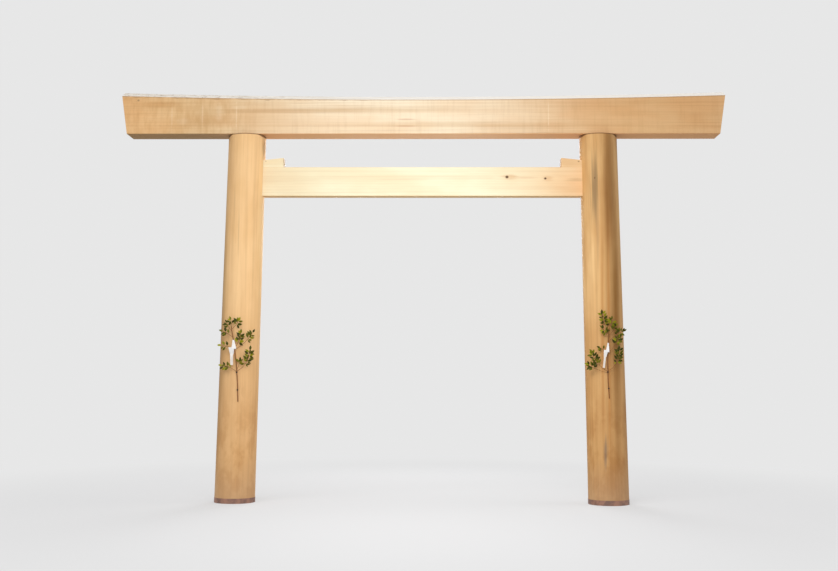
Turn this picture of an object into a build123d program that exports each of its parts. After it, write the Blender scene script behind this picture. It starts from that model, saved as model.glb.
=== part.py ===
"""Timber torii gate: two leaning round pillars, a heavy top beam, a tie beam held by
wedges, copper bands round the feet, and on each pillar a cut sprig with a folded
paper streamer.

Millimetres. +Z is up, +X runs along the beams and the front faces -Y. The origin is
on the ground, midway between the pillars. Pieces of the right half are built first
and the left ones are their mirror images, apart from the two sprigs, which differ.
"""

import os
from math import cos, hypot, pi, radians, sin, sqrt, tan
from random import Random
from typing import NamedTuple

from build123d import *

# Pillars, measured where they meet the ground and the top beam
BEAM_UNDERSIDE = 4400
PILLAR_SPACING = 4436
PILLAR_FOOT_DIA = 480
PILLAR_HEAD_DIA = 448
PILLAR_LEAN = 92
HEAD_EASING = 8

# Top beam: straight underside, top line sagging in one long arc, ends cut raking out
BEAM_LENGTH_BELOW = 7128
BEAM_DEPTH = 324
BEAM_FACE_AT_MIDDLE = 414
BEAM_FACE_AT_END = 464
BEAM_RIDGE = 74
BEAM_END_RAKE = 8

# Tie beam, and the wedges driven in above it
GAP_BETWEEN_BEAMS = 390
TIE_HEIGHT = 352
TIE_THICKNESS = 150
TIE_PAST_AXIS = 110
WEDGE_OUT = 248
WEDGE_IN = 300
WEDGE_HEAD = 112
WEDGE_SLOPE = 26 / 248
WEDGE_SET_BACK = 2
ARRIS_EASING = 4

# Tenons on the pillar heads: along the beam, across it, and up
HEAD_TENON = (170, 100, 140)

# Foot bands of copper sheet
BAND_HEIGHT = 60
BAND_THICKNESS = 2

# Sprigs: stems and twigs, grown in straight runs
LEFT_STEM_FOOT = 1190
LEFT_STEM_LENGTH = 885
RIGHT_STEM_FOOT = 1245
RIGHT_STEM_LENGTH = 815
STEM_RADIUS = 6
STEM_SIDES = 7
STEM_RUNS = 4
STEM_TOP_CLEAR = 20
TWIG_RADIUS = 2.5
TWIG_SIDES = 7

# Leaves
LEAF_LENGTH = 70
LEAF_WIDTH = 29
LEAF_THICKNESS = 1.2
LEAF_CAMBER = 7
LEAF_STALK = 10
LEAF_STALK_WIDTH = 2
LEAF_STATIONS = 3
LEAF_PITCH = 16
LEAF_SPREAD = 56
LEAF_ROLL = 24

# Nails that hold the stems
NAIL_HEAD_DIA = 20
NAIL_HEAD_THICKNESS = 4
NAIL_SIDE = 5
NAIL_LENGTH = 70

# Paper streamers and the cords that tie them on
CORD_THICKNESS = 3
CORD_WINDING = 16
PAPER_WIDTH = 64
PAPER_DROP = 296
PAPER_THICKNESS = 1
PAPER_FOLD = 14

# Clearances
JOINT_FIT = 1
SEAT_GAP = 0.3


class Twig(NamedTuple):
    """A side twig. Reach and bow are in leaf lengths, angles in degrees."""

    up_stem: float  # share of the way up the stem
    angle: float  # from upright towards +X
    reach: float
    bow: float  # how far its middle is pushed sideways
    lift: float  # towards the front
    leaves: int


class Sprig(NamedTuple):
    """A cut sprig nailed to a pillar. Offsets are shares of its length, towards +X."""

    side: int  # 1 on the right pillar, -1 on the left
    foot: float  # height of its cut end
    length: float
    foot_offset: float  # from the pillar's axis
    top_offset: float
    bow: float
    nails: tuple  # shares of the way up the stem
    knot: float  # the same, for the streamer's cord
    paper: float  # width of its streamer, as a share of PAPER_WIDTH
    paper_lean: float
    scatter: int  # which scatter its leaves have
    twigs: tuple


LEFT_SPRIG = Sprig(
    side=-1, foot=LEFT_STEM_FOOT, length=LEFT_STEM_LENGTH, foot_offset=0.043, top_offset=-0.078,
    bow=0.023, nails=(0.156, 0.388), knot=0.81, paper=1, paper_lean=0, scatter=3, twigs=(
        Twig(0.394, -66, 2.6, 0.2, 7, 7),
        Twig(0.398, 33, 4.2, 0.55, 9, 11),
        Twig(0.425, 22, 1.5, 0.1, 12, 3),
        Twig(0.690, 47, 4.1, 0.3, 5, 7),
        Twig(0.695, -74, 2.2, 0.1, 3, 5),
        Twig(0.720, 26, 2.5, 0.25, 10, 8),
        Twig(0.850, -58, 1.9, 0.1, 3, 5),
        Twig(0.935, -32, 1.6, -0.1, 13, 4),
        Twig(0.965, 41, 1.7, 0.1, 11, 4),
        Twig(0.990, -6, 1.1, 0.05, 3, 3),
    ),
)
RIGHT_SPRIG = Sprig(
    side=1, foot=RIGHT_STEM_FOOT, length=RIGHT_STEM_LENGTH, foot_offset=0.013, top_offset=0.033,
    bow=-0.022, nails=(0.142, 0.378), knot=0.785, paper=0.72, paper_lean=9, scatter=2, twigs=(
        Twig(0.384, -42, 3.9, -0.35, 6, 9),
        Twig(0.370, -70, 3.4, -0.15, 11, 5),
        Twig(0.388, 28, 3.9, 0.6, 9, 10),
        Twig(0.640, -52, 1.5, 0.1, 4, 3),
        Twig(0.650, 34, 3.1, 0.2, 12, 6),
        Twig(0.800, 52, 3.0, -0.2, 4, 6),
        Twig(0.860, -30, 1.8, 0.1, 9, 5),
        Twig(0.900, 37, 1.9, 0.1, 13, 4),
        Twig(0.940, -19, 3.3, -0.2, 6, 9),
        Twig(0.985, 16, 1.7, 0.1, 4, 5),
    ),
)


def axis_x(z):
    """Distance of a pillar's axis from the middle of the gate at height z."""
    return PILLAR_SPACING / 2 - PILLAR_LEAN * z / BEAM_UNDERSIDE


def pillar_radius(z):
    """Radius of a pillar at height z."""
    return (PILLAR_FOOT_DIA + (PILLAR_HEAD_DIA - PILLAR_FOOT_DIA) * z / BEAM_UNDERSIDE) / 2


def shaft(bottom, top):
    """The leaning, tapering shaft of the right pillar between two level cuts."""
    margin = PILLAR_FOOT_DIA / 2
    axis = Plane((axis_x(-margin), 0, -margin), z_dir=(-PILLAR_LEAN, 0, BEAM_UNDERSIDE))
    log = Cone(
        pillar_radius(-margin),
        pillar_radius(BEAM_UNDERSIDE + margin),
        hypot(PILLAR_LEAN, BEAM_UNDERSIDE) + 2 * margin,
        align=(Align.CENTER, Align.CENTER, Align.MIN),
    )
    wide = 2 * PILLAR_SPACING
    return axis.location * log & Pos(0, 0, (bottom + top) / 2) * Box(wide, wide, top - bottom)


def level_box(x0, x1, depth, z0, z1):
    """A box from x0 to x1 and z0 to z1, centred on the gate's mid-plane in depth."""
    return Pos((x0 + x1) / 2, 0, (z0 + z1) / 2) * Box(x1 - x0, depth, z1 - z0)


TIE_TOP = BEAM_UNDERSIDE - GAP_BETWEEN_BEAMS
TIE_UNDERSIDE = TIE_TOP - TIE_HEIGHT
WEDGE_FREE_END = (
    axis_x(TIE_TOP) - sqrt(pillar_radius(TIE_TOP) ** 2 - (TIE_THICKNESS / 2) ** 2) - WEDGE_OUT
)
WEDGE_TIP = WEDGE_FREE_END + WEDGE_OUT + WEDGE_IN


def wedge_block(depth, run=0.0):
    """Wedge of the right pillar: flat on the tie beam, its top falling into the pillar."""
    end = WEDGE_TIP + run
    with BuildSketch(Plane.XZ) as side:
        with BuildLine():
            Polyline(
                (WEDGE_FREE_END, TIE_TOP),
                (end, TIE_TOP),
                (end, TIE_TOP + WEDGE_HEAD - WEDGE_SLOPE * (end - WEDGE_FREE_END)),
                (WEDGE_FREE_END, TIE_TOP + WEDGE_HEAD),
                close=True,
            )
        make_face()
    return extrude(side.sketch, depth / 2, both=True)


def wedge():
    """Wedge with its blunt end eased all round, as it was for the mallet."""
    block = wedge_block(TIE_THICKNESS - 2 * WEDGE_SET_BACK)
    return chamfer(block.faces().sort_by(Axis.X)[0].edges(), ARRIS_EASING)


def pillar():
    """Right pillar: eased head with a tenon, and the mortise for tie beam and wedge."""
    body = shaft(0, BEAM_UNDERSIDE)
    body = chamfer(body.edges().sort_by(Axis.Z)[-1], HEAD_EASING)
    long, thick, high = HEAD_TENON
    head = axis_x(BEAM_UNDERSIDE)
    body += level_box(head - long / 2, head + long / 2, thick, BEAM_UNDERSIDE, BEAM_UNDERSIDE + high)
    mouth = axis_x(TIE_UNDERSIDE) - PILLAR_FOOT_DIA
    end = axis_x(TIE_UNDERSIDE) + TIE_PAST_AXIS + JOINT_FIT
    body -= level_box(mouth, end, TIE_THICKNESS + 2 * JOINT_FIT, TIE_UNDERSIDE, TIE_TOP)
    return body - wedge_block(TIE_THICKNESS + 2 * JOINT_FIT, run=JOINT_FIT)


def top_beam():
    """Top beam: a pentagon in section, with two mortises in its underside."""
    half = BEAM_LENGTH_BELOW / 2
    rake = tan(radians(BEAM_END_RAKE))
    ridge_end = BEAM_FACE_AT_END + BEAM_RIDGE
    ridge_mid = BEAM_FACE_AT_MIDDLE + BEAM_RIDGE
    reach = half + rake * ridge_end
    above = ridge_end + 2 * BEAM_RIDGE
    with BuildSketch(Plane.XZ) as side:
        with BuildLine():
            Polyline((-reach, ridge_end), (-half, 0), (half, 0), (reach, ridge_end))
            ThreePointArc((-reach, ridge_end), (0, ridge_mid), (reach, ridge_end))
        make_face()
    with BuildSketch(Plane.XZ) as waste:
        with BuildLine():
            Polyline((-reach, ridge_end), (-reach, above), (reach, above), (reach, ridge_end))
            ThreePointArc((-reach, ridge_end), (0, ridge_mid), (reach, ridge_end))
        make_face()
    body = extrude(side.sketch, BEAM_DEPTH / 2, both=True)
    body = chamfer(body.edges().filter_by(Axis.X), ARRIS_EASING)
    fall = sqrt((BEAM_DEPTH / 2) ** 2 + BEAM_RIDGE**2) * 1.05
    for facing in (-1, 1):
        slope = (0, facing * BEAM_DEPTH / 2, -BEAM_RIDGE)
        body -= extrude(waste.sketch, fall, dir=slope)
    body = Pos(0, 0, BEAM_UNDERSIDE) * body
    long, thick, high = (side + 2 * JOINT_FIT for side in HEAD_TENON)
    head = axis_x(BEAM_UNDERSIDE)
    for facing in (-1, 1):
        mortise = Box(long, thick, high, align=(Align.CENTER, Align.CENTER, Align.MIN))
        body -= Pos(facing * head, 0, BEAM_UNDERSIDE) * mortise
    return body


def tie_beam():
    """Tie beam: one timber with eased arrises, whose ends stop inside the pillars."""
    end = axis_x(TIE_UNDERSIDE) + TIE_PAST_AXIS
    body = level_box(-end, end, TIE_THICKNESS, TIE_UNDERSIDE, TIE_TOP)
    return chamfer(body.edges().filter_by(Axis.X), ARRIS_EASING)


def foot_band():
    """Copper sheet bent round the right pillar's foot, leaning as the pillar does."""
    axis = Plane((axis_x(-BAND_HEIGHT), 0, -BAND_HEIGHT), z_dir=(-PILLAR_LEAN, 0, BEAM_UNDERSIDE))
    inner = PILLAR_FOOT_DIA / 2 + SEAT_GAP
    ring = Circle(inner + BAND_THICKNESS) - Circle(inner)
    wide = 2 * PILLAR_SPACING
    level = Pos(0, 0, BAND_HEIGHT / 2) * Box(wide, wide, BAND_HEIGHT)
    return axis.location * extrude(ring, 3 * BAND_HEIGHT) & level


def in_runs(start, middle, end):
    """An arc through three points, as the straight runs between its buds."""
    arc = ThreePointArc(start, middle, end)
    return Polyline(*[arc @ (i / STEM_RUNS) for i in range(STEM_RUNS + 1)])


def bar(line, radius, sides):
    """A bar of few sides along straight runs, with mitred corners."""
    section = Plane(line @ 0, z_dir=line % 0) * RegularPolygon(radius, sides)
    return sweep(section, path=line, transition=Transition.RIGHT)


def twig_line(start, twig):
    """The centre line of a twig, its middle pushed sideways by its bow."""
    angle, lift = radians(twig.angle), radians(twig.lift)
    ahead = Vector(cos(lift) * sin(angle), -sin(lift), cos(lift) * cos(angle))
    end = start + ahead * (twig.reach * LEAF_LENGTH)
    push = Vector(cos(angle), 0, -sin(angle)) * (twig.bow * LEAF_LENGTH)
    return in_runs(start, (start + end) / 2 + push, end)


def leaf():
    """A leaf with its stalk's foot at the origin, pointing to +X and curving down to -Z."""
    blade = LEAF_LENGTH - LEAF_STALK
    stations = [i / LEAF_STATIONS for i in range(1, LEAF_STATIONS)]
    edge = [(LEAF_STALK + t * blade, LEAF_WIDTH / 2 * sin(pi * t**0.9)) for t in stations]
    with BuildSketch() as outline:
        with BuildLine():
            Polyline(
                (0, LEAF_STALK_WIDTH / 2),
                (LEAF_STALK, LEAF_STALK_WIDTH / 2),
                *edge,
                (LEAF_LENGTH, 0),
                *[(x, -y) for x, y in reversed(edge)],
                (LEAF_STALK, -LEAF_STALK_WIDTH / 2),
                (0, -LEAF_STALK_WIDTH / 2),
                close=True,
            )
        make_face()
    spine = [(0, 0), (LEAF_LENGTH * 0.45, LEAF_CAMBER * 0.15), (LEAF_LENGTH, -LEAF_CAMBER)]
    with BuildSketch(Plane.XZ) as curve:
        with BuildLine():
            Polyline(*spine, *[(x, z + LEAF_THICKNESS) for x, z in reversed(spine)], close=True)
        make_face()
    plate = extrude(curve.sketch, LEAF_WIDTH, both=True)
    return plate & extrude(outline.sketch, 2 * LEAF_CAMBER, both=True)


def leaves_on(line, count, scatter):
    """Leaves in two ranks inward from a twig's tip, rolled one way like louvres."""
    blades = []
    for i in range(count):
        size = scatter.uniform(0.68, 1)
        spread = radians(LEAF_SPREAD + scatter.uniform(-10, 12))
        roll = radians(LEAF_ROLL + scatter.uniform(-8, 10))
        forward = scatter.uniform(0, 0.3)
        share = 1 - i * LEAF_PITCH / line.length
        here, along = line @ share, line % share
        across = along.cross(Vector(0, 1, 0)).normalized()
        if i == 0:
            toward, radial, reach = along, along, SEAT_GAP
        else:
            hand = 1 if i % 2 else -1
            toward = along * cos(spread) + across * (hand * sin(spread)) - Vector(0, forward, 0)
            toward = toward.normalized()
            radial = (toward - along * toward.dot(along)).normalized()
            reach = TWIG_RADIUS + 2 * SEAT_GAP
        edgeways = toward.cross(Vector(0, -1, 0)).normalized()
        face = edgeways.cross(toward) * cos(roll) + edgeways * sin(roll)
        foot = here + radial * reach - face * (LEAF_THICKNESS / 2)
        blades.append(Plane(origin=foot, x_dir=toward, z_dir=face).location * scale(LEAF_SHAPE, size))
    return blades


def nail(head_centre, grow=0.0):
    """A square nail driven towards +Y, its head's back face centred on the point given."""
    side = NAIL_SIDE + 2 * grow
    shank = Box(side, side, NAIL_LENGTH, align=(Align.CENTER, Align.CENTER, Align.MIN))
    head = extrude(RegularPolygon(NAIL_HEAD_DIA / 2, 8), -NAIL_HEAD_THICKNESS)
    return Pos(*head_centre) * Rot(-90, 0, 0) * (shank if grow else shank + head)


def cord_tie(knot, along):
    """A cord wound round the stem, as a faceted sleeve."""
    inner = (STEM_RADIUS + SEAT_GAP) / cos(pi / STEM_SIDES)
    ring = RegularPolygon(inner + CORD_THICKNESS, STEM_SIDES) - RegularPolygon(inner, STEM_SIDES)
    return Plane(knot, z_dir=along).location * extrude(ring, CORD_WINDING / 2, both=True)


def panel(top, bottom):
    """One panel of a streamer. Each end is its share of the drop, middle and width."""
    corners = []
    for (drop, middle, width), hands in ((top, (-1, 1)), (bottom, (1, -1))):
        corners += [((middle + hand * width / 2) * PAPER_WIDTH, -drop * PAPER_DROP) for hand in hands]
    return make_face(Polyline(*corners, close=True))


def streamer(hang, paper, lean):
    """Folded paper streamer: three slanting panels that zigzag forward and back."""
    flat = panel((0, 0, 0.3), (0.36, 0.16, 0.9))
    flat += panel((0.3, -0.3, 1.1), (0.58, -0.25, 0.62))
    flat += panel((0.5, -0.3, 0.52), (1, -0.2, 0.5))
    front = Plane.XZ * scale(flat, (paper, 1, 1))
    folds = [
        (-depth * PAPER_FOLD, -drop * PAPER_DROP)
        for depth, drop in ((0, -0.02), (1, 0.33), (0.33, 0.55), (1, 1.02))
    ]
    with BuildSketch(Plane.YZ) as profile:
        with BuildLine():
            Polyline(*folds, *[(y - PAPER_THICKNESS, z) for y, z in reversed(folds)], close=True)
        make_face()
    sheet = extrude(profile.sketch, PAPER_WIDTH, both=True) & extrude(front, 2 * PAPER_FOLD, both=True)
    return Pos(*hang) * Rot(0, lean, 0) * sheet


def sprig(plan):
    """The pieces of a sprig by name, and the holes that its nails need in the pillar."""
    ends = []
    for rise, offset, clear in ((0, plan.foot_offset, SEAT_GAP), (1, plan.top_offset, STEM_TOP_CLEAR)):
        z = plan.foot + rise * plan.length
        reach = pillar_radius(z) + STEM_RADIUS + clear
        ends.append(Vector(plan.side * axis_x(z) + offset * plan.length, -reach, z))
    bowed = (ends[0] + ends[1]) / 2 + Vector(plan.bow * plan.length, 0, 0)
    stem = in_runs(ends[0], bowed, ends[1])
    scatter = Random(plan.scatter)
    side_twigs, green = [], []
    for twig in plan.twigs:
        line = twig_line(stem @ twig.up_stem, twig)
        side_twigs.append(bar(line, TWIG_RADIUS, TWIG_SIDES))
        green += leaves_on(line, twig.leaves, scatter)
    wood = bar(stem, STEM_RADIUS, STEM_SIDES).fuse(*side_twigs)
    nails, holes = [], []
    for share in plan.nails:
        seat = stem @ share - Vector(0, STEM_RADIUS + 2 * SEAT_GAP, 0)
        nails.append(nail(seat))
        holes.append(nail(seat, SEAT_GAP))
        wood -= holes[-1]
    knot = stem @ plan.knot
    hang = knot - Vector(0, STEM_RADIUS + 3 * SEAT_GAP + CORD_THICKNESS, -CORD_WINDING / 2)
    pieces = {
        "sprig_stem": wood,
        "sprig_leaves": Compound(children=green),
        "lower_nail": nails[0],
        "upper_nail": nails[1],
        "streamer_tie": cord_tie(knot, stem % plan.knot),
        "streamer": streamer(hang, plan.paper, plan.paper_lean),
    }
    return pieces, holes


LEAF_SHAPE = leaf()


def build():
    """Every piece by node name."""
    right_pillar = pillar()
    left_pillar = mirror(right_pillar, about=Plane.YZ)
    left_sprig, left_holes = sprig(LEFT_SPRIG)
    right_sprig, right_holes = sprig(RIGHT_SPRIG)
    parts = {
        "right_pillar": right_pillar - right_holes,
        "left_pillar": left_pillar - left_holes,
        "top_beam": top_beam(),
        "tie_beam": tie_beam(),
        "right_wedge": wedge(),
        "left_wedge": mirror(wedge(), about=Plane.YZ),
        "right_foot_band": foot_band(),
        "left_foot_band": mirror(foot_band(), about=Plane.YZ),
    }
    for side, pieces in (("left", left_sprig), ("right", right_sprig)):
        parts.update({f"{side}_{name}": shape for name, shape in pieces.items()})
    return parts


os.makedirs("parts", exist_ok=True)
for node, shape in build().items():
    export_step(shape, f"parts/{node}.step")
    print(node, round(shape.volume), "mm3", len(shape.solids()), "solids")
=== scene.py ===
import math
from random import Random

import bmesh
import bpy
import numpy as np
from mathutils import Matrix, Vector, noise

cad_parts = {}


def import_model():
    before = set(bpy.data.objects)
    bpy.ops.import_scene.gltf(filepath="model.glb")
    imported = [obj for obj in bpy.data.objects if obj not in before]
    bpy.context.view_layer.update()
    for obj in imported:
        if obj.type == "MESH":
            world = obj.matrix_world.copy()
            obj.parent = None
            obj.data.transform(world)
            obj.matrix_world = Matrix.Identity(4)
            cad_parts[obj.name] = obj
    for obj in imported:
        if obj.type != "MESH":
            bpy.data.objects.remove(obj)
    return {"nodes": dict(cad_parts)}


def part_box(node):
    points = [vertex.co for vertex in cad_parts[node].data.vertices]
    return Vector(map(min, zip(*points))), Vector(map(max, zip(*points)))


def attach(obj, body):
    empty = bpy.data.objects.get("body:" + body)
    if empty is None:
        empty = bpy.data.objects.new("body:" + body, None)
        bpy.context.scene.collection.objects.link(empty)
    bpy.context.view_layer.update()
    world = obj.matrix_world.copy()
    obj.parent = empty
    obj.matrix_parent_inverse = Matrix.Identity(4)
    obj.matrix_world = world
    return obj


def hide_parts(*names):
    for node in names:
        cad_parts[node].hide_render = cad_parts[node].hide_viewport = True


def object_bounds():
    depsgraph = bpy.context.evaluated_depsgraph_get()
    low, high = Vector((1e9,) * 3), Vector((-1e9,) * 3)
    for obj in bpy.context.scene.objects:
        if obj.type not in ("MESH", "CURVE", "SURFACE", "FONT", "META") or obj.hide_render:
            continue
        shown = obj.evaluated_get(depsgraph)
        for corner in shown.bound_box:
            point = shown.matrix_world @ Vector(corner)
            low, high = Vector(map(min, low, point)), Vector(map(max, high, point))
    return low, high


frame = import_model()
CAD_BOX = [list(map(float, corner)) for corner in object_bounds()]
NODES = frame["nodes"]

# Sizes repeated from the frame's source, in metres
BEAM_UNDERSIDE = 4.4
PILLAR_SPACING = 4.436
PILLAR_FOOT_DIA = 0.480
PILLAR_HEAD_DIA = 0.448
PILLAR_LEAN = 0.092
BEAM_FACE_AT_MIDDLE = 0.414
BEAM_FACE_AT_END = 0.464
GAP_BETWEEN_BEAMS = 0.390
TIE_HEIGHT = 0.352
STEM_RADIUS = 0.006

# Sizes worked out from them
HALF_SPACING = PILLAR_SPACING / 2
PILLAR_RADIUS = PILLAR_FOOT_DIA / 2
LEAN = PILLAR_LEAN / BEAM_UNDERSIDE
TAPER = (PILLAR_FOOT_DIA - PILLAR_HEAD_DIA) / PILLAR_FOOT_DIA / BEAM_UNDERSIDE
TIE_MIDDLE = BEAM_UNDERSIDE - GAP_BETWEEN_BEAMS - TIE_HEIGHT / 2
FACE_TOP = BEAM_UNDERSIDE + BEAM_FACE_AT_MIDDLE
FACE_HALF_LENGTH = 3.6
FACE_RISE = (BEAM_FACE_AT_END - BEAM_FACE_AT_MIDDLE) / FACE_HALF_LENGTH**2

# Points nearer to each other than this are joined
MERGE = 1e-5


# Shader nodes

# Where a colour Mix node keeps its sockets
MIX_FACTOR, MIX_UNDER, MIX_OVER, MIX_RESULT = 0, 6, 7, 2


class Net:
    """A node tree, built by small calls that return sockets."""

    def __init__(self, tree):
        self.tree = tree
        self.tree.nodes.clear()

    def add(self, kind, **values):
        node = self.tree.nodes.new(kind)
        for key, value in values.items():
            setattr(node, key, value)
        return node

    def put(self, socket, value):
        """Links another socket or sets a value. None leaves the socket as it is."""
        if isinstance(value, bpy.types.NodeSocket):
            self.tree.links.new(value, socket)
        elif value is not None:
            socket.default_value = value

    def feed(self, node, *values, **named):
        """Fills a node's sockets in their order, or by their names."""
        for socket, value in zip(node.inputs, values):
            self.put(socket, value)
        for name, value in named.items():
            self.put(node.inputs[name], value)
        return node

    def math(self, op, a, b=None, c=None):
        return self.feed(self.add("ShaderNodeMath", operation=op), a, b, c).outputs[0]

    def plus(self, a, b):
        return self.math("ADD", a, b)

    def minus(self, a, b):
        return self.math("SUBTRACT", a, b)

    def times(self, a, b):
        return self.math("MULTIPLY", a, b)

    def vector(self, op, a, b=None):
        node = self.feed(self.add("ShaderNodeVectorMath", operation=op), a)
        self.put(node.inputs["Scale" if op == "SCALE" else 1], b)
        return node.outputs["Value" if op == "LENGTH" else 0]

    def stretch(self, source, x, y, z):
        """Scales each axis. A noise over the result is longer along an axis whose scale is small."""
        return self.vector("MULTIPLY", source, (x, y, z))

    def split(self, source):
        return self.feed(self.add("ShaderNodeSeparateXYZ"), source).outputs[:3]

    def join(self, x, y, z):
        return self.feed(self.add("ShaderNodeCombineXYZ"), x, y, z).outputs[0]

    def normal(self):
        return self.split(self.add("ShaderNodeNewGeometry").outputs["Normal"])

    def noise(self, source, scale, detail=3.0, rough=0.55):
        node = self.add("ShaderNodeTexNoise")
        return self.feed(node, Vector=source, Scale=scale, Detail=detail, Roughness=rough).outputs[0]

    def noise_along(self, value, scale, detail=2.0):
        node = self.add("ShaderNodeTexNoise", noise_dimensions="1D")
        return self.feed(node, W=value, Scale=scale, Detail=detail).outputs[0]

    def span(self, value, low, high, to_low=0.0, to_high=1.0):
        """Maps low..high smoothly to to_low..to_high. Here low may be above high."""
        if low > high:
            low, high, to_low, to_high = high, low, to_high, to_low
        node = self.add("ShaderNodeMapRange", interpolation_type="SMOOTHSTEP")
        return self.feed(node, value, low, high, to_low, to_high).outputs[0]

    def mix(self, factor, under, over, blend="MIX"):
        node = self.add("ShaderNodeMix", data_type="RGBA", blend_type=blend)
        self.put(node.inputs[MIX_FACTOR], factor)
        for place, colour in ((MIX_UNDER, under), (MIX_OVER, over)):
            self.put(node.inputs[place], (*colour, 1.0) if isinstance(colour, tuple) else colour)
        return node.outputs[MIX_RESULT]

    def stain(self, factor, colour, share):
        """Lets only that share of the colour through, where factor is 1."""
        return self.mix(factor, colour, share, "MULTIPLY")

    def coats(self, colour, *coats):
        """Lays coats of (factor, colour) over a colour, the last one on top."""
        for factor, coat in coats:
            colour = self.mix(factor, colour, coat)
        return colour

    def bump(self, height, strength, distance):
        node = self.add("ShaderNodeBump")
        return self.feed(node, Height=height, Strength=strength, Distance=distance).outputs[0]

    def seen(self):
        """1 for the rays that show the background: from the camera, mirrored or refracted."""
        path = self.add("ShaderNodeLightPath").outputs
        mirrored = self.math("MAXIMUM", path["Is Glossy Ray"], path["Is Transmission Ray"])
        return self.math("MAXIMUM", path["Is Camera Ray"], mirrored)


class Material(Net):
    """A material's nodes round one Principled shader. where is the place on the object."""

    def __init__(self, name):
        self.material = bpy.data.materials.new(name)
        self.material.use_nodes = True
        super().__init__(self.material.node_tree)
        self.out = self.add("ShaderNodeOutputMaterial")
        self.bsdf = self.add("ShaderNodeBsdfPrincipled")
        self.put(self.out.inputs[0], self.bsdf.outputs[0])
        self.where = self.add("ShaderNodeTexCoord").outputs["Object"]

    def finish(self, colour, rough, normal=None, specular=None, metallic=None):
        """Fills the shader. Specular and metallic are plain numbers, the same all over."""
        values = {"Base Color": colour, "Roughness": rough, "Normal": normal}
        fixed = {"Specular IOR Level": specular, "Metallic": metallic}
        self.feed(self.bsdf, **values, **fixed)
        return self.material


def assign(material, *nodes):
    """Gives CAD nodes their material."""
    for node in nodes:
        mesh = NODES[node].data
        mesh.materials.clear()
        mesh.materials.append(material)


# Timber

# Layers of noise in the wood: stretch (its last number along the fibre), scale, detail, roughness
GRAIN = {
    "cloud": ((1.0, 1.0, 0.4), 2.6, 3.0, 0.55),
    "broad": ((1.0, 1.0, 0.03), 11.0, 2.0, 0.55),
    "narrow": ((1.0, 1.0, 0.02), 46.0, 2.0, 0.55),
    "thin": ((1.0, 1.0, 0.014), 125.0, 2.0, 0.55),
    "fibre": ((1.0, 1.0, 0.012), 290.0, 3.0, 0.65),
    "figure": ((0.08, 0.08, 1.0), 30.0, 3.0, 0.55),
}

# Knots are nearly round, and the fibres bend round them in a longer space. The reach and the core
# are multiples of a knot's size.
BEND_SHAPE = (1.0, 1.0, 0.35)
HEART_SHAPE = (1.0, 1.0, 0.85)
BEND_REACH = 3.5
BEND_PULL = -0.55
KNOT_CORE = 0.4
KNOT_BROWN = (0.085, 0.028, 0.012)


def pillar_log(side):
    """Places in a pillar's own log, upright and without its taper: across, deep, along."""

    def place(net):
        x, y, z = net.split(net.where)
        across = net.minus(net.plus(net.times(z, side * LEAN), x), side * HALF_SPACING)
        grow = net.plus(net.times(z, TAPER), 1.0)
        return net.times(across, grow), net.times(y, grow), z

    return place


def beam_log(height):
    """Places in a level timber whose middle is at that height: deep, up, along."""

    def place(net):
        x, y, z = net.split(net.where)
        return y, net.minus(z, height), x

    return place


def bend_round_knots(net, flat, knots):
    """Pulls the fibres in towards each knot. Also returns a mask of the knots' hearts."""
    bent, heart = flat, 0.0
    for centre, size, strength in knots:
        away = net.vector("SUBTRACT", flat, centre)
        near = net.vector("LENGTH", net.stretch(away, *BEND_SHAPE))
        pull = net.span(near, size * KNOT_CORE, size * BEND_REACH, BEND_PULL, 0.0)
        bent = net.vector("ADD", bent, net.vector("SCALE", away, pull))
        tight = net.vector("LENGTH", net.stretch(away, *HEART_SHAPE))
        heart = net.math("MAXIMUM", heart, net.span(tight, size * KNOT_CORE, size, strength, 0.0))
    return bent, heart


def growth_rings(net, bent, pith, width, wander):
    """Rings round the log's heart: the number of each place's ring, and its dark late wood.

    Late wood darkens slowly across a ring and ends sharply.
    """
    stray = net.noise(net.stretch(bent, 1.0, 1.0, 0.12), 1.7, 2.0)
    stray = net.times(net.minus(stray, 0.5), 2 * wander)
    off_pith = net.stretch(net.vector("SUBTRACT", bent, (*pith, 0.0)), 1.0, 1.0, 0.0)
    ring = net.math("DIVIDE", net.plus(net.vector("LENGTH", off_pith), stray), width)
    phase = net.math("FRACT", net.plus(ring, net.times(net.noise_along(ring, 0.4), 1.5)))
    return ring, net.times(net.span(phase, 0.3, 0.9), net.span(phase, 1.0, 0.91))


def spot(net, centre, reach, strength, ragged=0.0):
    """A soft patch round a point of the object, at its full strength there and gone at its reach."""
    away = net.vector("DIVIDE", net.vector("SUBTRACT", net.where, centre), reach)
    return net.span(net.plus(net.vector("LENGTH", away), ragged), 0.15, 1.0, strength, 0.0)


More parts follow.
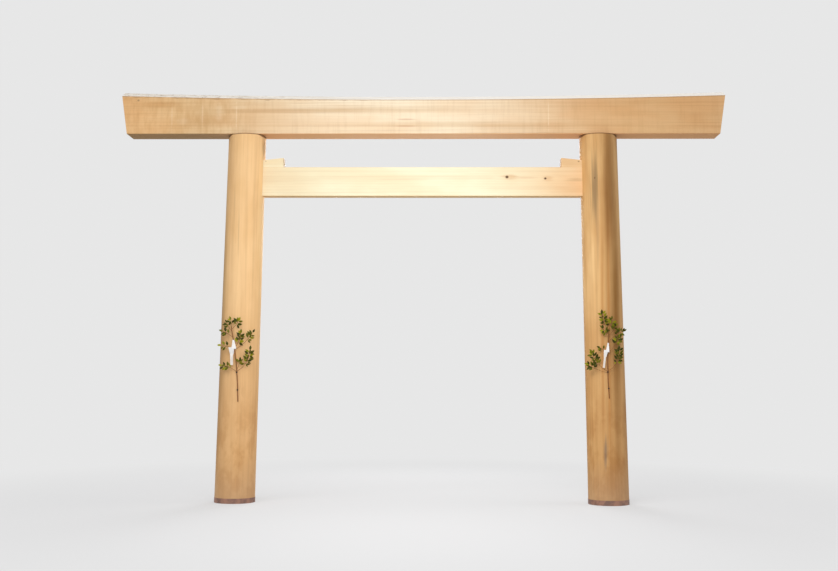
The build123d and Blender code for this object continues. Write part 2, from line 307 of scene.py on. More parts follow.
def timber(name, log, tones, pith, ring_width, wander, lines, streak, tints, marks, weather,
           ripple=0.0, knots=()):
    """Planed cypress.

    log gives the places in the timber, and tones its pale and middle colours and the share that its
    dark grain lets through. pith is the log's heart. wander is how far its rings stray. lines, streak
    and ripple are the strengths of the growth lines, of the long streaks and of the figure across them.
    tints are (place, reach, share, strength), marks (place, reach, colour, strength) and knots (place
    in the log, size, strength). Tints lie under the grain and marks over it. weather is a function
    that changes the colour after them.
    """
    net = Material(name)
    pale, middle, shade = tones
    bent, heart = bend_round_knots(net, net.join(*log(net)), knots)
    ring, late = growth_rings(net, bent, pith, ring_width, wander)
    dark_years = net.span(net.noise_along(ring, 0.16), 0.4, 0.7)
    grain = {layer: net.noise(net.stretch(bent, *stretch), *values)
             for layer, (stretch, *values) in GRAIN.items()}

    colour = net.mix(net.span(grain["cloud"], 0.35, 0.68), pale, middle)
    for centre, reach, share, strength in tints:
        colour = net.stain(spot(net, centre, reach, strength), colour, share)
    faint, fine = streak * 0.35, streak * 0.55
    for layer, low, high, strength in (
        (dark_years, 0.0, 1.0, faint),
        (late, 0.0, 1.0, lines),
        (grain["broad"], 0.46, 0.74, streak),
        (grain["narrow"], 0.50, 0.76, fine),
        (grain["thin"], 0.52, 0.78, fine),
        (grain["fibre"], 0.50, 0.80, 0.20),
        (grain["figure"], 0.45, 0.72, ripple),
    ):
        if strength:
            colour = net.stain(net.span(layer, low, high, 0.0, strength), colour, shade)
    ragged = net.times(net.minus(grain["narrow"], 0.5), 1.6)
    for centre, reach, tint, strength in marks:
        colour = net.mix(spot(net, centre, reach, strength, ragged), colour, tint)
    colour = weather(net, colour, late)
    if knots:
        colour = net.mix(heart, colour, KNOT_BROWN)

    rough = net.plus(net.plus(net.times(grain["fibre"], 0.16), net.times(late, -0.06)), 0.56)
    height = net.plus(net.times(grain["fibre"], 0.6), net.times(late, 0.4))
    return net.finish(colour, rough, net.bump(height, 0.3, 0.001), specular=0.2)


# Weather on the pillars, and painted shadow at their heads

# Heights between which each change sets in
DEEPER_BELOW = (2.7, 0.9)
MOTTLED_BELOW = (1.6, 0.7)
DAMP_BELOW = (0.75, 0.12)
# The head's dark rim is painted shadow where the pillar meets the beam's underside
HEAD_SHADOW_RIM = (BEAM_UNDERSIDE - 0.016, BEAM_UNDERSIDE - 0.007)

# The head's rim of painted shadow reaches lower on the flanks, from the first distance off the
# gate's mid plane to the second
RIM_FLANK = (0.17, 0.09)
RIM_DROP = 0.018


def weather_and_head_shadow_on_pillar(net, colour, _late):
    """Pillars deepen and mottle towards the ground and grey at the foot. The dark rim round the head's edge
    is painted shadow, where the head meets the beam.
    """
    deeper, mottled = (0.79, 0.68, 0.58), (0.84, 0.76, 0.66)
    damp_grey, head_shadow_brown = (0.56, 0.37, 0.23), (0.12, 0.05, 0.02)
    y, z = net.split(net.where)[1:]
    patch = net.noise(net.stretch(net.where, 1.0, 1.0, 0.6), 6.0, 4.0, 0.6)
    colour = net.stain(net.span(z, *DEEPER_BELOW, 0.0, 0.65), colour, deeper)
    mottle = net.times(net.span(z, *MOTTLED_BELOW), net.span(patch, 0.42, 0.60, 0.0, 0.7))
    colour = net.stain(mottle, colour, mottled)
    ragged = net.plus(z, net.times(patch, 0.3))
    colour = net.mix(net.span(ragged, *DAMP_BELOW, 0.0, 0.45), colour, damp_grey)
    # Painted shadow round the head's edge, reaching lower on the flanks
    flank = net.span(net.math("ABSOLUTE", y), *RIM_FLANK, 0.0, RIM_DROP)
    return net.mix(net.span(net.plus(z, flank), *HEAD_SHADOW_RIM, 0.0, 0.8), colour, head_shadow_brown)


# Weather on the beams, with painted light on the top slopes and painted shade underneath

# Places along the top beam between which each change sets in
LEFT_MOTTLE = (-1.7, -2.4)
LEFT_UNDERSIDE = (-1.6, -2.8)
WAVY_EDGE = (0.2, -1.6)
DIRTY_SLOPE = (0.6, -2.8)
PATCHY_SLOPE = (-1.2, -3.0)

# Depths below the top edge where the dark line ends and where it is full, and how much it waves
EDGE_LINE = (0.016, 0.004)
EDGE_WAVE = -0.045

# Undersides: painted darker as shade on faces that look down, and rosier
TOP_UNDERSIDE = (0.95, 0.505, 0.215)
TOP_UNDERSIDE_LEFT = (0.395, 0.225, 0.075)
TIE_UNDERSIDE = (0.87, 0.57, 0.25)


def end_grain(net, colour, late):
    """Cut ends are darker than the faces, show their rings and are blotched."""
    darker, ringed, blotched = (0.62, 0.52, 0.44), (0.62, 0.46, 0.34), (0.76, 0.68, 0.60)
    cut = net.span(net.math("ABSOLUTE", net.normal()[0]), 0.75, 0.9)
    colour = net.stain(cut, colour, darker)
    colour = net.stain(net.times(cut, net.times(late, 0.8)), colour, ringed)
    blotch = net.span(net.noise(net.where, 14.0, 4.0, 0.6), 0.42, 0.65, 0.0, 0.5)
    return net.stain(net.times(cut, blotch), colour, blotched)


def shaded_rosy_below(net, colour, most, left):
    """The underside is painted darker as shade on a face that looks down, and rosier: most is its colour,
    but for left at the left end.
    """
    x = net.split(net.where)[0]
    below = net.span(net.normal()[2], -0.5, -0.8, 0.0, 0.85)
    return net.mix(below, colour, net.mix(net.span(x, *LEFT_UNDERSIDE), most, left))


def mottled_left(net, colour):
    """The front's left end is stained in upright mottles."""
    mottled = (0.88, 0.80, 0.70)
    x = net.split(net.where)[0]
    mottle = net.noise(net.stretch(net.where, 2.0, 1.0, 0.6), 9.0, 5.0, 0.6)
    mottle = net.times(net.span(x, *LEFT_MOTTLE), net.span(mottle, 0.38, 0.66, 0.0, 0.55))
    return net.stain(mottle, colour, mottled)


def dark_edge(net, colour):
    """A dark line runs along the front's curved top edge, and waves on the left."""
    line_brown = (0.36, 0.21, 0.11)
    x, _, z = net.split(net.where)
    edge = net.math("MULTIPLY_ADD", net.times(x, x), FACE_RISE, FACE_TOP)
    waves = net.times(net.minus(net.noise_along(x, 5.0, 3.0), 0.45), EDGE_WAVE)
    below = net.plus(net.minus(edge, z), net.times(waves, net.span(x, *WAVY_EDGE)))
    return net.mix(net.span(below, *EDGE_LINE, 0.0, 0.55), colour, line_brown)


def silvered_sky_lit_slopes(net, colour):
    """The top slopes are silvered and dirty, most of all on the left. Their silver is painted paler than
    the wood's, as painted light from the sky above them.
    """
    dull_sky_lit_silver, bright_sky_lit_silver = (0.78, 0.74, 0.67), (0.99, 0.97, 0.93)
    dirt, rot = (0.46, 0.37, 0.24), (0.30, 0.20, 0.13)
    x = net.split(net.where)[0]
    slope = net.span(net.normal()[2], 0.35, 0.6)
    silver = net.noise(net.stretch(net.where, 0.03, 1.0, 1.0), 60.0, 4.0, 0.65)
    streaks = net.noise(net.stretch(net.where, 0.10, 1.0, 1.0), 34.0, 5.0, 0.7)
    streaks = net.times(slope, net.span(streaks, 0.44, 0.62, 0.0, 0.55))
    patches = net.noise(net.stretch(net.where, 0.7, 1.0, 1.0), 24.0, 6.0, 0.75)
    patches = net.times(slope, net.span(patches, 0.50, 0.62, 0.0, 0.75))
    return net.coats(
        colour,
        # Silver, painted pale as light from the sky on the upward slopes
        (net.times(slope, 0.92), net.mix(silver, dull_sky_lit_silver, bright_sky_lit_silver)),
        (net.times(streaks, net.span(x, *DIRTY_SLOPE, 0.15, 1.0)), dirt),
        (net.times(patches, net.span(x, *PATCHY_SLOPE, 0.10, 1.0)), rot),
    )


def weather_and_painted_light_on_top_beam(net, colour, late):
    """Every change to the top beam's colour: weather, a dark line along its top edge, painted sky light on
    its slopes and painted shade underneath.
    """
    for change in (mottled_left, dark_edge, silvered_sky_lit_slopes):
        colour = change(net, colour)
    return end_grain(net, shaded_rosy_below(net, colour, TOP_UNDERSIDE, TOP_UNDERSIDE_LEFT), late)


def weather_and_painted_shade_on_tie(net, colour, late):
    """The tie beam and its wedges have only their ends changed and their underside painted darker as shade.
    """
    return end_grain(net, shaded_rosy_below(net, colour, TIE_UNDERSIDE, TIE_UNDERSIDE), late)


# Tones, knots, tints and marks of each timber

# Pale, middle, and the share that dark grain lets through
HONEY = ((0.95, 0.63, 0.32), (0.86, 0.54, 0.25), (0.60, 0.48, 0.36))
AMBER = ((0.78, 0.485, 0.21), (0.65, 0.365, 0.14), (0.56, 0.45, 0.34))
BLOND = ((0.98, 0.84, 0.63), (0.94, 0.74, 0.51), (0.66, 0.54, 0.40))
CREAM = ((0.97, 0.92, 0.67), (0.94, 0.83, 0.57), (0.74, 0.60, 0.46))

# Colours of the marks
PALE = (0.96, 0.78, 0.55)
ORANGE = (0.66, 0.33, 0.115)
RUSSET = (0.58, 0.27, 0.14)
STAIN = (0.50, 0.29, 0.13)
GREY_BROWN = (0.31, 0.19, 0.085)
ASH_BROWN = (0.25, 0.19, 0.15)
# Painted shade under the top beam
UNDER_BEAM_SHADE = (0.30, 0.155, 0.05)
# Painted shadow in the gaps where the wedges enter the pillars
GAP_SHADOW_UMBER = (0.18, 0.08, 0.03)

# Front faces, and the middle heights of the beams' fronts
TOP_FRONT = -0.16
TOP_FRONT_MIDDLE = 4.62
TIE_FRONT = -0.075
TIE_FRONT_MIDDLE = 3.83
WEDGE_FRONT = -0.07


def on_front(front, depth, *rows):
    """Tints or marks on a front face, from (x, z, half width, half height, colour, strength)."""
    return [((x, front, z), (wide, depth, high), *rest) for x, z, wide, high, *rest in rows]


LEFT_PILLAR_TINTS = [
    # Painted shade down the pillar's outer side
    ((-2.44, 0.0, 2.6), (0.165, 0.40, 3.2), (0.51, 0.465, 0.36), 0.95),
    # Painted light down the pillar's inner flank
    ((-1.93, -0.12, 3.2), (0.080, 0.20, 2.4), (1.10, 1.14, 1.14), 0.8),
]
LEFT_PILLAR_MARKS = [
    ((-2.18, -0.22, 3.2), (0.014, 0.12, 0.55), STAIN, 0.35),
    ((-2.235, -0.22, 3.5), (0.010, 0.12, 0.40), STAIN, 0.30),
    # Painted shade on the inner flank, just under the top beam
    ((-1.90, -0.08, 4.25), (0.05, 0.12, 0.16), UNDER_BEAM_SHADE, 0.5),
]

RIGHT_PILLAR_KNOTS = [((-0.0865, -0.224, 3.855), 0.013, 0.5)]
RIGHT_PILLAR_TINTS = [
    # Painted light down the pillar's inner flank
    ((2.00, -0.20, 3.2), (0.080, 0.20, 2.4), (1.14, 1.22, 1.35), 0.8),
    ((2.225, -0.19, 3.9), (0.110, 0.14, 1.30), (0.48, 0.39, 0.28), 0.9),
    ((2.19, -0.22, 3.2), (0.095, 0.20, 1.60), (0.84, 0.76, 0.66), 0.9),
    ((2.290, -0.16, 2.2), (0.088, 0.16, 2.20), (0.44, 0.345, 0.195), 1.0),
    ((2.130, -0.24, 2.2), (0.034, 0.10, 2.00), (0.92, 0.80, 0.66), 0.9),
    ((2.205, -0.23, 1.9), (0.026, 0.10, 2.00), (0.92, 0.78, 0.62), 0.9),
]
RIGHT_PILLAR_MARKS = [
    ((2.057, -0.22, 3.73), (0.068, 0.12, 0.64), GREY_BROWN, 0.88),
    ((2.085, -0.22, 3.20), (0.026, 0.12, 0.60), STAIN, 0.5),
    ((2.154, -0.24, 0.62), (0.030, 0.06, 0.25), ASH_BROWN, 0.7),
]

TOP_BEAM_KNOTS = [((-0.162, 0.410, -3.430), 0.016, 0.45)]
TOP_BEAM_TINTS = on_front(
    TOP_FRONT, 0.60,
    (-3.30, TOP_FRONT_MIDDLE, 2.60, 1.20, (0.82, 0.66, 0.465), 1.0),
    (-3.60, TOP_FRONT_MIDDLE, 1.00, 1.20, (1.13, 1.07, 1.02), 1.0),
    (2.90, TOP_FRONT_MIDDLE, 3.00, 1.20, (0.78, 0.575, 0.38), 1.0),
) + on_front(
    TOP_FRONT, 0.06,
    (-0.8, 4.682, 2.6, 0.050, (0.80, 0.70, 0.58), 0.6),
    (0.4, 4.505, 3.0, 0.045, (0.82, 0.72, 0.60), 0.6),
    (-2.60, 4.56, 0.46, 0.130, (0.86, 0.76, 0.66), 0.7),
    (-3.20, 4.76, 0.40, 0.060, (0.80, 0.68, 0.54), 0.7),
)
TOP_BEAM_MARKS = on_front(
    TOP_FRONT, 0.05,
    (-2.885, 4.545, 0.12, 0.060, PALE, 0.14),
    (-2.45, 4.66, 0.05, 0.16, PALE, 0.18),
    (-2.198, 4.727, 0.12, 0.050, PALE, 0.16),
    (-2.238, 4.62, 0.010, 0.30, PALE, 0.35),
    (-2.65, 4.64, 0.012, 0.24, PALE, 0.25),
    (-3.02, 4.60, 0.014, 0.26, PALE, 0.2),
    (1.516, 4.62, 0.010, 0.28, PALE, 0.35),
    (-0.193, 4.572, 0.15, 0.014, RUSSET, 0.45),
    (-0.193, 4.493, 0.15, 0.014, RUSSET, 0.35),
)

TIE_BEAM_KNOTS = [
    ((TIE_FRONT, 0.055, 1.022), 0.022, 0.95),
    ((TIE_FRONT, 0.037, 1.482), 0.017, 0.95),
]
TIE_BEAM_TINTS = on_front(
    TIE_FRONT, 0.30,
    (2.30, TIE_FRONT_MIDDLE, 1.70, 0.60, (0.96, 0.665, 0.49), 1.0),
    (-2.2, TIE_FRONT_MIDDLE, 1.10, 0.50, (0.96, 0.84, 0.76), 0.8),
)
TIE_BEAM_MARKS = on_front(
    TIE_FRONT, 0.05,
    (1.060, 3.886, 0.12, 0.050, ORANGE, 0.40),
    (1.24, 3.880, 0.20, 0.020, ORANGE, 0.25),
    (1.51, 3.870, 0.09, 0.045, ORANGE, 0.35),
    (1.86, 3.86, 0.16, 0.030, STAIN, 0.35),
)

WEDGE_TINTS = on_front(WEDGE_FRONT, 0.50, (2.0, 4.05, 1.20, 0.80, (0.92, 0.68, 0.52), 1.0))
WEDGE_TINTS += on_front(WEDGE_FRONT, 0.30, (-1.8, 4.10, 0.80, 0.10, (0.95, 0.84, 0.74), 0.6))
WEDGE_MARKS = on_front(
    WEDGE_FRONT, 0.05,
    # Painted shadow in the mortise gaps, where the wedges' tops enter the pillars
    (1.884, 4.075, 0.020, 0.014, GAP_SHADOW_UMBER, 0.8),
    (-1.890, 4.082, 0.016, 0.012, GAP_SHADOW_UMBER, 0.4),
)

LEFT_PILLAR_WOOD = timber(
    "left_pillar_wood", pillar_log(-1), HONEY,
    pith=(0.018, 0.010), ring_width=0.0055, wander=0.010, lines=0.10, streak=0.20,
    tints=LEFT_PILLAR_TINTS, marks=LEFT_PILLAR_MARKS, weather=weather_and_head_shadow_on_pillar,
)
RIGHT_PILLAR_WOOD = timber(
    "right_pillar_wood", pillar_log(1), AMBER,
    pith=(-0.020, 0.012), ring_width=0.0060, wander=0.014, lines=0.14, streak=0.30,
    knots=RIGHT_PILLAR_KNOTS, tints=RIGHT_PILLAR_TINTS, marks=RIGHT_PILLAR_MARKS,
    weather=weather_and_head_shadow_on_pillar,
)
TOP_BEAM_WOOD = timber(
    "top_beam_wood", beam_log(BEAM_UNDERSIDE), BLOND,
    pith=(0.0, 0.235), ring_width=0.0045, wander=0.008, lines=0.10, streak=0.30, ripple=0.14,
    knots=TOP_BEAM_KNOTS, tints=TOP_BEAM_TINTS, marks=TOP_BEAM_MARKS,
    weather=weather_and_painted_light_on_top_beam,
)
TIE_BEAM_WOOD = timber(
    "tie_beam_wood", beam_log(TIE_MIDDLE), CREAM,
    pith=(0.02, -0.35), ring_width=0.0050, wander=0.006, lines=0.14, streak=0.25,
    knots=TIE_BEAM_KNOTS, tints=TIE_BEAM_TINTS, marks=TIE_BEAM_MARKS, weather=weather_and_painted_shade_on_tie,
)
WEDGE_WOOD = timber(
    "wedge_wood", beam_log(TIE_MIDDLE), CREAM,
    pith=(0.20, 0.55), ring_width=0.0045, wander=0.005, lines=0.14, streak=0.20,
    tints=WEDGE_TINTS, marks=WEDGE_MARKS, weather=weather_and_painted_shade_on_tie,
)


# Metal

def copper():
    """Brown copper sheet, duller and darker in patches."""
    brown, dull, worn = (0.38, 0.205, 0.145), (0.21, 0.125, 0.10), (0.55, 0.33, 0.23)
    net = Material("foot_copper")
    patch = net.noise(net.where, 9.0, 4.0, 0.6)
    fine = net.noise(net.where, 70.0, 4.0, 0.6)
    colour = net.mix(net.span(patch, 0.35, 0.65), brown, dull)
    colour = net.mix(net.span(fine, 0.55, 0.75, 0.0, 0.4), colour, worn)
    rough = net.span(fine, 0.2, 0.8, 0.42, 0.68)
    return net.finish(colour, rough, net.bump(fine, 0.25, 0.001), metallic=0.7)


def iron():
    """Dark forged iron with specks of rust."""
    black, rust = (0.018, 0.014, 0.012), (0.085, 0.05, 0.03)
    net = Material("nail_iron")
    fine = net.noise(net.where, 400.0, 4.0, 0.6)
    rough = net.span(fine, 0.2, 0.8, 0.5, 0.8)
    return net.finish(net.mix(fine, black, rust), rough, net.bump(fine, 0.5, 0.001), metallic=0.6)


# Materials of the CAD nodes that stay

assign(LEFT_PILLAR_WOOD, "left_pillar")
assign(RIGHT_PILLAR_WOOD, "right_pillar")
assign(TOP_BEAM_WOOD, "top_beam")
assign(TIE_BEAM_WOOD, "tie_beam")
assign(WEDGE_WOOD, "left_wedge", "right_wedge")
assign(copper(), "left_foot_band", "right_foot_band")
assign(iron(), "left_lower_nail", "left_upper_nail", "right_lower_nail", "right_upper_nail")


# Finer pieces in place of CAD nodes

def stand_for(mesh, node, material):
    """Puts a finer piece where a CAD node is."""
    mesh.materials.clear()
    mesh.materials.append(material)
    piece = bpy.data.objects.new("fine_" + node, mesh)
    bpy.context.scene.collection.objects.link(piece)
    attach(piece, "root")
    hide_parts(node)


def smooth_mesh(node, points, faces):
    """A smooth mesh for the piece that stands for a node."""
    mesh = bpy.data.meshes.new("fine_" + node)
    mesh.from_pydata([tuple(point) for point in points], [], faces)
    mesh.shade_smooth()
    return mesh


def shell_of(node):
    """A CAD node's mesh as one closed shell per solid."""
    shell = bmesh.new()
    shell.from_mesh(NODES[node].data)
    bmesh.ops.remove_doubles(shell, verts=shell.verts, dist=MERGE)
    shell.verts.index_update()
    return shell


def solids_of(node):
    """The corners of each solid in a CAD node, one array for each."""
    shell = shell_of(node)
    solids, met = [], set()
    for first in shell.verts:
        if first.index in met:
            continue
        met.add(first.index)
        corners, ahead = [], [first]
        while ahead:
            vert = ahead.pop()
            corners.append(tuple(vert.co))
            others = [edge.other_vert(vert) for edge in vert.link_edges]
            fresh = [other for other in others if other.index not in met]
            met.update(other.index for other in fresh)
            ahead += fresh
        solids.append(np.array(corners))
    shell.free()
    return solids


def unit(vector):
    """The vector, at a length of 1."""
    return vector / np.linalg.norm(vector)


# Leaves

LEAF_ROWS = 14
LEAF_COLUMNS = 8
LEAF_SHEET = 0.0006
MIDRIB_GROOVE = 0.0003

# How much wider a fine leaf is than the plain one, and how near its ends the plain one's last
# corners are
LEAF_WIDENING = 1.2
END_REACH = 0.0012

# The outline: the stalk's share of the length, least widths as shares of the half width, and the
# powers that set where the blade is widest and how full it is
STALK_SHARE = 1 / 7
STALK_WIDTH = 0.05
TIP_WIDTH = 0.03
WIDEST_POWER = 0.9
FULLNESS_POWER = 0.92

# The ranges that each leaf's fold, curl and wave are drawn from, and how steeply a fold rises
FOLD = (0.02, 0.16)
FOLD_RISE = 0.2
CURL = (0.040, 0.062)
WAVE = (0.0, 0.010)

# Second leaves: the share of buds that have one, its turn in degrees, how much it lifts off the
# pillar, its size beside the first, where its room is tested along its length, and its clearances
PAIRED = {"left": 0.5, "right": 1.0}
BUD_TURNS = (-58, -44, 44, 58)
TURN_SPREAD = 6
BUD_LIFT = (0.15, 0.35)
BUD_SIZE = (0.8, 1.0)
PROBES = (0.3, 0.65, 1.0)
PILLAR_CLEARANCE = 0.006
PAPER_CLEARANCE = 0.008


def leaf_frame(corners):
    """A leaf solid's foot, length axis, face normal, length and half width."""
    middle = corners.mean(0)
    axes = np.linalg.svd(corners - middle)[2]
    along = (corners - middle) @ axes[0]
    ends = [corners[along < along.min() + END_REACH], corners[along > along.max() - END_REACH]]
    tip, foot = (end.mean(0) for end in sorted(ends, key=len))
    length = np.linalg.norm(tip - foot)
    ahead = (tip - foot) / length
    face = axes[2] * math.copysign(1.0, (middle - (foot + tip) / 2) @ axes[2])
    face = unit(face - ahead * (face @ ahead))
    half_width = LEAF_WIDENING * np.abs((corners - foot) @ np.cross(face, ahead)).max()
    return foot, ahead, face, length, half_width


def from_axis(side, place):
    """How far a place lies across from the axis of the pillar on that side."""
    return place[0] - side * (HALF_SPACING - LEAN * place[2])


def clear_of_gate(side, boxes, place):
    """True for places off the pillar, inside the leaves' own box and away from the streamer's."""
    (low, high), (paper_low, paper_high) = boxes
    if (place < low).any() or (place > high).any():
        return False
    radius = PILLAR_RADIUS * (1 - TAPER * place[2])
    if math.hypot(from_axis(side, place), place[1]) < radius + PILLAR_CLEARANCE:
        return False
    off_paper = (place < paper_low - PAPER_CLEARANCE) | (place > paper_high + PAPER_CLEARANCE)
    return bool(off_paper[[0, 2]].any())


def companion(side, boxes, leaf, dice):
    """A second leaf from the same bud as the first, turned and lifted off the pillar, or None."""
    foot, ahead, face, length, half_width = leaf
    off_pillar = unit(np.array((from_axis(side, foot), foot[1], 0.0)))
    for turn in dice.sample(BUD_TURNS, len(BUD_TURNS)):
        angle = math.radians(turn + dice.uniform(-TURN_SPREAD, TURN_SPREAD))
        spin = Matrix.Rotation(angle, 3, Vector(face))
        fresh = unit(np.array(spin @ Vector(ahead)) + dice.uniform(*BUD_LIFT) * off_pillar)
        normal = unit(face - fresh * (face @ fresh))
        long = length * dice.uniform(*BUD_SIZE)
        probes = (foot + fresh * long * share for share in PROBES)
        if all(clear_of_gate(side, boxes, place) for place in probes):
            return foot, fresh, normal, long, half_width * long / length
    return None


def leaf_rows(dice):
    """A leaf's curved sheet, as (share along, share across, width, rise) for each point.

    The width is a share of the leaf's half width there, and the rise a share of its length.
    """
    fold = dice.uniform(*FOLD)
    curl = dice.uniform(*CURL)
    wave = dice.uniform(*WAVE)
    phase = dice.uniform(0, 6)
    rows = []
    for i in range(LEAF_ROWS + 1):
        along = i / LEAF_ROWS
        blade = max(0.0, (along - STALK_SHARE) / (1 - STALK_SHARE))
        width = 0.0
        if 0 < blade < 1:
            width = math.sin(math.pi * blade**WIDEST_POWER) ** FULLNESS_POWER
        width = max(width, STALK_WIDTH * (1 - along), TIP_WIDTH)
        for j in range(LEAF_COLUMNS + 1):
            across = 2 * j / LEAF_COLUMNS - 1
            rise = 4 * curl * along * (1 - along) + fold * FOLD_RISE * abs(across) * width
            rise += wave * width * abs(across) * math.sin(phase + 9 * along + 2 * across)
            rows.append((along, across, width, rise))
    return rows


def leaf_points(leaf, rows):
    """The points of a leaf's upper and under sides, shifted together where they pass the CAD box's low
    sides.
    """
    foot, ahead, face, length, half_width = leaf
    side = np.cross(face, ahead)
    points = []
    for sheet in (LEAF_SHEET / 2, -LEAF_SHEET / 2):
        for along, across, width, rise in rows:
            groove = -MIDRIB_GROOVE if abs(across) < 0.1 else 0.0
            lift = rise * length + sheet + groove
            flat = foot + ahead * along * length + side * across * width * half_width
            points.append(flat + face * lift)
    return list(points + np.maximum(CAD_BOX[0] - np.min(points, axis=0), 0.0))


def leaf_faces(base):
    """The faces of the leaf whose points start at base: both sides, and the rim between them."""
    line = LEAF_COLUMNS + 1
    under = base + line * (LEAF_ROWS + 1)
    faces = []
    for i in range(LEAF_ROWS):
        for j in range(LEAF_COLUMNS):
            quad = [i * line + j, i * line + j + 1, (i + 1) * line + j + 1, (i + 1) * line + j]
            faces.append([base + k for k in reversed(quad)])
            faces.append([under + k for k in quad])
    rim = list(range(line))
    rim += [i * line + LEAF_COLUMNS for i in range(1, LEAF_ROWS + 1)]
    rim += [LEAF_ROWS * line + j for j in reversed(range(LEAF_COLUMNS))]
    rim += [i * line for i in reversed(range(1, LEAF_ROWS))]
    for k, after in zip(rim, rim[1:] + rim[:1]):
        faces.append([base + k, base + after, under + after, under + k])
    return faces


def leaf_mesh(node, streamer, side, seed, paired):
    """Fine curved leaves with a fold along the midrib, clear of the streamer beside them.

    One is where each plain leaf of the node is, and a share, paired, have a companion at the same bud.
    """
    dice = Random(seed)
    boxes = [list(map(np.array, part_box(name))) for name in (node, streamer)]
    leaves = [leaf_frame(corners) for corners in solids_of(node)]
    leaves += [companion(side, boxes, leaf, dice) for leaf in leaves if dice.random() < paired]
    points, faces, places = [], [], []
    for leaf in filter(None, leaves):
        tint = dice.random()
        rows = leaf_rows(dice)
        faces += leaf_faces(len(points))
        points += leaf_points(leaf, rows)
        for upper in (1, 0):
            places += [(along, abs(across), tint, upper) for along, across, _, _ in rows]
    mesh = smooth_mesh(node, points, faces)
    leaf_place = mesh.attributes.new("leaf_place", "FLOAT_COLOR", "POINT")
    leaf_place.data.foreach_set("color", np.array(places, np.float32).ravel())
    return mesh


def leaf_green():
    """Glossy evergreen, each leaf with its own tint, a pale midrib and a duller underside."""
    net = Material("leaf_green")
    place = net.add("ShaderNodeAttribute", attribute_name="leaf_place")
    along, across, tint = net.split(place.outputs["Vector"])
    under = net.minus(1.0, place.outputs["Alpha"])
    patch = net.noise(net.where, 30.0, 3.0)
    tint = net.plus(tint, net.times(net.minus(patch, 0.5), 0.5))
    veins = net.math("SINE", net.plus(net.times(along, 52.0), net.times(across, -9.0)))
    dark, fresh, young = (0.026, 0.031, 0.001), (0.110, 0.108, 0.002), (0.33, 0.31, 0.012)
    vein = (0.22, 0.22, 0.03)
    midrib = (0.32, 0.31, 0.06)
    edge = (0.42, 0.40, 0.10)
    underside = (0.17, 0.185, 0.05)
    stalk = (0.30, 0.24, 0.09)
    colour = net.coats(
        net.mix(net.span(tint, 0.1, 0.65), dark, fresh),
        (net.span(tint, 0.60, 1.0), young),
        (net.span(veins, 0.72, 1.0, 0.0, 0.14), vein),
        (net.span(across, 0.10, 0.03, 0.0, 0.5), midrib),
        (net.span(across, 0.85, 1.0, 0.0, 0.3), edge),
        (net.times(under, 0.5), underside),
        (net.span(along, 0.15, 0.10, 0.0, 0.7), stalk),
    )
    rough = net.plus(net.span(patch, 0.2, 0.8, 0.38, 0.50), net.times(under, 0.25))
    return net.finish(colour, rough, net.bump(veins, 0.2, 0.0004), specular=0.12)


# Stems

# The size of a voxel, and how often the bark is smoothed
BARK_VOXEL = 0.0013
BARK_RELAX = 5

# How far the bark stands out all over, and its knobs and wrinkles as (height, fineness)
BARK_SWELL = 0.00015
BARK_KNOBS = (0.0005, 90)
BARK_WRINKLES = (0.0003, 260)


def bark_mesh(node):
    """The stem with its twigs, rounded and a little knobbly."""
    rough = bpy.data.objects.new("rough_" + node, NODES[node].data.copy())
    bpy.context.scene.collection.objects.link(rough)
    remesh = rough.modifiers.new("remesh", "REMESH")
    remesh.mode = "VOXEL"
    remesh.voxel_size = BARK_VOXEL
    relax = rough.modifiers.new("relax", "SMOOTH")
    relax.iterations = BARK_RELAX
    graph = bpy.context.evaluated_depsgraph_get()
    mesh = bpy.data.meshes.new_from_object(rough.evaluated_get(graph))
    bpy.data.objects.remove(rough)
    (knob, knob_scale), (wrinkle, wrinkle_scale) = BARK_KNOBS, BARK_WRINKLES
    moved = []
    for vert in mesh.vertices:
        swell = BARK_SWELL + knob * noise.noise(vert.co * knob_scale)
        swell += wrinkle * noise.noise(vert.co * wrinkle_scale)
        moved.append(vert.co + vert.normal * swell)
    mesh.vertices.foreach_set("co", np.array(moved, np.float32).ravel())
    mesh.shade_smooth()
    return mesh


def bark():
    """Reddish stem, turning olive on its youngest wood, with pale pores."""
    net = Material("twig_bark")
    ridges = net.noise(net.where, 190.0, 4.0, 0.6)
    patch = net.noise(net.where, 28.0, 2.0)
    dark, reddish = (0.165, 0.060, 0.021), (0.35, 0.145, 0.052)
    olive, pores = (0.21, 0.15, 0.04), (0.50, 0.30, 0.16)
    colour = net.coats(
        net.mix(net.span(ridges, 0.35, 0.65), dark, reddish),
        (net.span(patch, 0.52, 0.70, 0.0, 0.35), olive),
        (net.span(ridges, 0.66, 0.74, 0.0, 0.5), pores),
    )
    rough = net.span(ridges, 0.2, 0.8, 0.5, 0.8)
    return net.finish(colour, rough, net.bump(ridges, 0.4, 0.001), specular=0.2)


# Ties

# The cord lies off the stem by the gap, and ends short of the CAD winding, by the room in all
CORD_RADIUS = 0.0014
CORD_GAP = 0.0009
CORD_END_ROOM = 2.2 * CORD_RADIUS
CORD_TURNS = 4.4
CORD_STATIONS = 132
CORD_SIDES = 12
STRANDS = 3
STRAND_DEPTH = 0.1
STRAND_TWIST = 2.2


def winding_of(node):
    """The middle, axis and length of a CAD winding, which is a ring round the stem."""
    mesh = NODES[node].data
    corners = np.array([vert.co for vert in mesh.vertices])
    middle = (corners.min(0) + corners.max(0)) / 2
    spread = sum(face.area * np.outer(face.normal, face.normal) for face in mesh.polygons)
    axis = Vector(np.linalg.eigh(spread)[1][:, 0])
    return Vector(middle), axis, np.ptp((corners - middle) @ np.array(axis))


